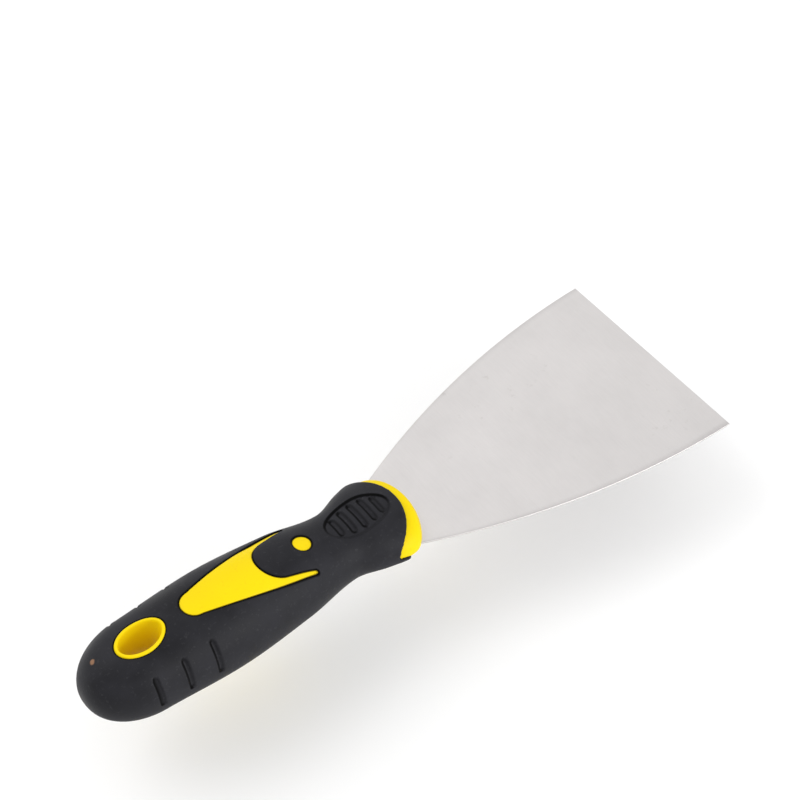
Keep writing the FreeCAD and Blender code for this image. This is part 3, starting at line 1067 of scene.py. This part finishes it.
def blade_half_width(x):
    """Half width of the sheet: a circular arc down the bowed side, a straight shoulder, then the tang."""
    half_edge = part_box("blade")[1].y
    neck_x = DATUM_X - NECK_PLACE
    middle = (neck_x / 2, (NECK_HALF_WIDTH + half_edge) / 2 + BLADE_BOW)
    side = arc_points((0.0, half_edge), middle, (neck_x, NECK_HALF_WIDTH), 400)
    bowed = np.interp(x, side[::-1, 0], side[::-1, 1])
    shoulder_x = DATUM_X - TANG_SHOULDER_PLACE
    shoulder = np.interp(x, [shoulder_x, neck_x], [TANG_HALF_WIDTH, NECK_HALF_WIDTH])
    return np.where(x >= neck_x, bowed, shoulder)


def blade_surface():
    """Rings across the sheet, each its upper face, a rounded side, its under face and the other side."""
    half = BLADE_THICKNESS / 2
    round_edge = 0.12 * MM
    front = np.array([0.0, 0.04, 0.12, 0.4]) * MM
    xs = np.concatenate([
        -front, -np.linspace(1.0 * MM, EXPOSED_LENGTH + NECK_PLACE, 130),
        DATUM_X - np.linspace(NECK_PLACE + 0.5 * MM, TANG_SHOULDER_PLACE, 10),
        DATUM_X - np.linspace(TANG_SHOULDER_PLACE + 2 * MM, TANG_LENGTH, 20),
    ])
    thick = np.full((len(xs), 1), half)
    thick[:3, 0] *= (0.72, 0.9, 0.98)
    flat = (blade_half_width(xs) - round_edge)[:, None] * np.linspace(-1, 1, 33)
    corner = np.linspace(math.pi / 2, -math.pi / 2, 7)[1:-1]
    side_y = flat[:, -1:] + round_edge * np.cos(corner)
    side_z = thick * np.sin(corner)
    level = np.repeat(thick, flat.shape[1], axis=1)
    y = np.hstack([flat, side_y, flat[:, ::-1], -side_y])
    z = np.hstack([level, side_z, -level, -side_z])
    points = np.stack([np.repeat(xs[:, None], y.shape[1], axis=1), y, z], axis=-1).reshape(-1, 3)
    count, last = y.shape[1], (len(xs) - 1) * y.shape[1]
    over = np.arange(flat.shape[1] - 1)
    below = flat.shape[1] + len(corner) + flat.shape[1] - 1 - over
    cap = np.stack([over, over + 1, below - 1, below], axis=1)
    right = flat.shape[1] - 1 + np.arange(len(corner) + 2)
    left = (count - len(corner) - 1 + np.arange(len(corner) + 2)) % count
    faces = loop_faces(len(xs), count).tolist() + cap.tolist() + (last + cap[:, ::-1]).tolist()
    faces += [right.tolist(), left.tolist(), (last + right[::-1]).tolist(), (last + left[::-1]).tolist()]
    return points, faces


# ---- stage

class KNIFE_OT_stage(bpy.types.Operator):
    """Pale floor, soft light and the camera"""
    bl_idname = "knife.stage"
    bl_label = "Stage"

    def execute(self, context):
        make_floor(context.scene.knife_sizes.floor_drop)
        make_lights()
        make_camera()
        return {"FINISHED"}


def make_floor(drop):
    """A wide pale floor with a faint unevenness in its tone."""
    reach = 4.0
    points = [(-reach, -reach, -drop), (reach, -reach, -drop), (reach, reach, -drop), (-reach, reach, -drop)]
    material, tree, shader, coordinates = new_material("pale_floor")
    tone = noise(tree, coordinates.outputs["Object"], 3.0, 2.0)
    shade = mix_colour(tree, tone, (0.93, 0.93, 0.93, 1), (0.95, 0.95, 0.95, 1))
    tree.links.new(shade, shader.inputs["Base Color"])
    shader.inputs["Roughness"].default_value = 0.9
    floor = new_piece("floor", points, [(0, 1, 2, 3)], material)


def area_light(name, direction, distance, size, power):
    """A square soft light that looks at the middle of the knife from a direction."""
    light = bpy.data.lights.new(name, "AREA")
    light.shape = "SQUARE"
    light.size = size
    light.energy = power
    holder = bpy.data.objects.new(name, light)
    bpy.context.scene.collection.objects.link(holder)
    middle = (FRAME_LOW + FRAME_HIGH) / 2
    aim = Vector(direction).normalized()
    holder.location = middle + aim * distance
    holder.rotation_mode = "QUATERNION"
    holder.rotation_quaternion = aim.to_track_quat("Z", "Y")


def make_lights():
    """Even white surroundings, a soft key from behind on the far side, and two large dim panels.

    One panel hangs where the blade's upper face mirrors it, and the other stands low
    on the near side, for the sheen along the grip.
    """
    scene = bpy.context.scene
    scene.view_settings.view_transform = "Standard"
    world = bpy.data.worlds.new("studio")
    scene.world = world
    world.use_nodes = True
    background = world.node_tree.nodes["Background"]
    background.inputs["Color"].default_value = (1.0, 1.0, 1.0, 1.0)
    background.inputs["Strength"].default_value = 0.80
    area_light("key", (-0.45, 0.55, 0.75), distance=1.1, size=0.8, power=4.2)
    area_light("blade_panel", (0.42, 0.48, 0.77), distance=1.0, size=0.9, power=0.8)
    area_light("near_panel", (0.35, -1.0, 0.30), distance=0.8, size=0.45, power=3.2)


def make_camera():
    """The camera, behind and to the near side of the knife, looking down at it."""
    azimuth, elevation, roll = math.radians(-41.231), math.radians(50.173), math.radians(3.5)
    place = Vector((-221.776 * MM + DATUM_X, -247.519 * MM, 449.721 * MM))
    flat = math.cos(elevation)
    back = Vector((math.sin(azimuth) * flat, -math.cos(azimuth) * flat, math.sin(elevation)))
    level = Vector((math.cos(azimuth), math.sin(azimuth), 0.0))
    upright = back.cross(level)
    right = level * math.cos(roll) + upright * math.sin(roll)
    up = upright * math.cos(roll) - level * math.sin(roll)
    camera = bpy.data.cameras.new("camera")
    camera.sensor_width = 36.0
    camera.lens = 81.0
    camera.clip_start = 0.01
    camera.clip_end = 20.0
    holder = bpy.data.objects.new("camera", camera)
    bpy.context.scene.collection.objects.link(holder)
    holder.rotation_mode = "QUATERNION"
    holder.rotation_quaternion = Matrix((right, up, back)).transposed().to_quaternion()
    holder.location = place
    bpy.context.scene.camera = holder


# ---- panel and registration

OPERATORS = (
    KNIFE_OT_stage, KNIFE_OT_grip, KNIFE_OT_windows, KNIFE_OT_core_body, KNIFE_OT_collar,
    KNIFE_OT_eyelet, KNIFE_OT_blade,
)


class KNIFE_PT_sidebar(bpy.types.Panel):
    """Lists the knife's pieces and its sizes and colours"""
    bl_idname = "KNIFE_PT_sidebar"
    bl_label = "Putty knife"
    bl_space_type = "VIEW_3D"
    bl_region_type = "UI"
    bl_category = "Putty knife"

    def draw(self, context):
        for operator in OPERATORS:
            self.layout.operator(operator.bl_idname)
        for group in (context.scene.knife_colours, context.scene.knife_sizes):
            for name in group.bl_rna.properties.keys():
                if name not in ("rna_type", "name"):
                    self.layout.prop(group, name)


CLASSES = (KnifeColours, KnifeSizes, *OPERATORS, KNIFE_PT_sidebar)


def register():
    for item in CLASSES:
        bpy.utils.register_class(item)
    bpy.types.Scene.knife_colours = PointerProperty(type=KnifeColours)
    bpy.types.Scene.knife_sizes = PointerProperty(type=KnifeSizes)


def unregister():
    del bpy.types.Scene.knife_sizes
    del bpy.types.Scene.knife_colours
    for item in reversed(CLASSES):
        bpy.utils.unregister_class(item)


def main():
    register()
    for operator in OPERATORS:
        getattr(bpy.ops.knife, operator.bl_idname.split(".")[1])()


if __name__ == "__main__":
    main()
